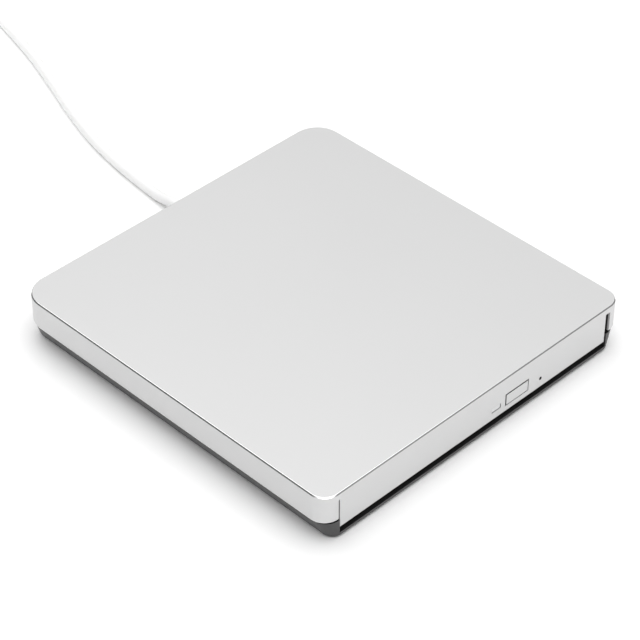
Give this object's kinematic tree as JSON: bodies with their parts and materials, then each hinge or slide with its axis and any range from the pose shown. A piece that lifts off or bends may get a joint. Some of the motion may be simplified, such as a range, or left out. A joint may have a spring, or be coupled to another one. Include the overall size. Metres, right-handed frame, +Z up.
{
  "type": "external disc drive",
  "caption": "Slim external disc drive: a silver-over-black case with a front tray that slides out, holding a spindle and laser pickup, and a captive cord with its plug.",
  "frame": {"origin": "centre of the case's footprint, on the surface it stands on", "axes": "+X to the right seen from the front, +Y towards the back where the cord leaves, +Z up"},
  "size_m": [0.142, 0.3595, 0.0195],
  "materials": {
    "silver_shell": "bead-blasted and anodised silver, with a polished edge round the top",
    "black_shell": "fine-grained moulded black",
    "silver_bezel": "satin silver paint over moulded plastic",
    "rubber": "matt",
    "steel": "zinc-plated sheet",
    "bright_steel": "ground and polished",
    "black_plastic": "fine-grained moulded black",
    "white_plastic": "moulded natural white",
    "board": "green solder mask",
    "chip": "moulded epoxy",
    "component": "ceramic and tinned ends",
    "copper": "enamelled copper winding",
    "gold_contact": "gold-plated",
    "foam": "open foam strip",
    "flex": "amber film with copper tracks",
    "light_pipe": "frosted clear",
    "lens": "coated clear",
    "cord_jacket": "smooth white soft vinyl",
    "plug_shell": "nickel-plated steel",
    "clear_film": "insulated wire"
  },
  "bodies": {
    "root": {"top_cover": "silver_shell", "base_case": "black_shell", "rubber_feet": "rubber", "case_screws": "bright_steel", "foam_pads": "foam", "bridge_board": "board", "board_screws": "bright_steel", "bridge_plug": "black_plastic", "bridge_chip": "chip", "board_components": "component", "cable_wires": "clear_film", "cord_strain_relief": "cord_jacket", "cord_lead": "cord_jacket", "cord_coil": "cord_jacket", "cord_tail": "cord_jacket", "cord_plug_body": "cord_jacket", "cord_plug_shell": "plug_shell", "cord_plug_tongue": "white_plastic", "cord_plug_contacts": "gold_contact", "drive_pan": "steel", "drive_lid": "steel", "lid_screws": "bright_steel", "left_guide": "white_plastic", "right_guide": "white_plastic", "latch_post": "bright_steel", "drive_board": "board", "drive_chips": "chip", "drive_socket": "black_plastic", "flex_cable": "flex"},
    "tray_unit": {"tray": "black_plastic", "tray_bezel": "silver_bezel", "led_light_pipe": "light_pipe", "tray_bottom_cover": "steel", "front_board": "board", "tact_switch": "black_plastic", "led_chip": "white_plastic", "latch_solenoid": "copper", "eject_plunger": "white_plastic", "eject_spring": "bright_steel", "traverse_chassis": "steel", "guide_rods": "bright_steel", "damper_bushings": "rubber", "traverse_screws": "bright_steel", "traverse_cover": "black_plastic", "spindle_base": "steel", "stator_core": "copper", "stepper_motor": "steel", "screw_bracket": "steel"},
    "left_slide_rail": {"left_rail": "steel"},
    "right_slide_rail": {"right_rail": "steel"},
    "button": {"eject_button": "silver_bezel"},
    "rotor": {"turntable": "bright_steel", "turntable_ring": "rubber", "chuck_balls": "bright_steel"},
    "pickup": {"pickup_body": "steel", "pickup_cover": "black_plastic"},
    "lens_carrier": {"lens_holder": "black_plastic", "objective_lens": "lens"},
    "feed_screw": {"lead_screw": "bright_steel"},
    "latch": {"latch_lever": "white_plastic"}
  },
  "joints": [
    {"name": "tray_slide", "type": "slide", "parent": "root", "child": "tray_unit", "axis": [0, -1, 0], "range_m": [0, 0.128], "deforming": ["flex_cable"]},
    {"name": "left_rail_slide", "type": "slide", "parent": "root", "child": "left_slide_rail", "axis": [0, -1, 0], "range_m": [0, 0.064]},
    {"name": "right_rail_slide", "type": "slide", "parent": "root", "child": "right_slide_rail", "axis": [0, -1, 0], "range_m": [0, 0.064]},
    {"name": "eject_button_press", "type": "slide", "parent": "tray_unit", "child": "button", "axis": [0, 1, 0], "range_m": [0, 0.0005], "stiffness_N_per_m": 300},
    {"name": "spindle_spin", "type": "hinge", "parent": "tray_unit", "child": "rotor", "pos_m": [0, -0.007, 0.0125], "axis": [0, 0, 1], "continuous": true},
    {"name": "pickup_feed", "type": "slide", "parent": "tray_unit", "child": "pickup", "axis": [-0.7071, -0.7071, 0], "range_m": [0, 0.032]},
    {"name": "lead_screw_spin", "type": "hinge", "parent": "tray_unit", "child": "feed_screw", "pos_m": [0.01344, -0.02043, 0.0076], "axis": [-0.7071, -0.7071, 0], "range_deg": [0, 3845]},
    {"name": "lens_focus", "type": "slide", "parent": "pickup", "child": "lens_carrier", "axis": [0, 0, 1], "range_m": [-0.0003, 0.0003], "stiffness_N_per_m": 60},
    {"name": "latch_turn", "type": "hinge", "parent": "tray_unit", "child": "latch", "pos_m": [0.05, -0.057, 0.0074], "axis": [0, 0, 1], "range_deg": [0, 16]}
  ],
  "couplings": [
    {"joint": "left_rail_slide", "follows": "tray_slide", "ratio": 0.5},
    {"joint": "right_rail_slide", "follows": "tray_slide", "ratio": 0.5},
    {"joint": "lead_screw_spin", "follows": "pickup_feed", "rad_per_m": 2094.4}
  ]
}
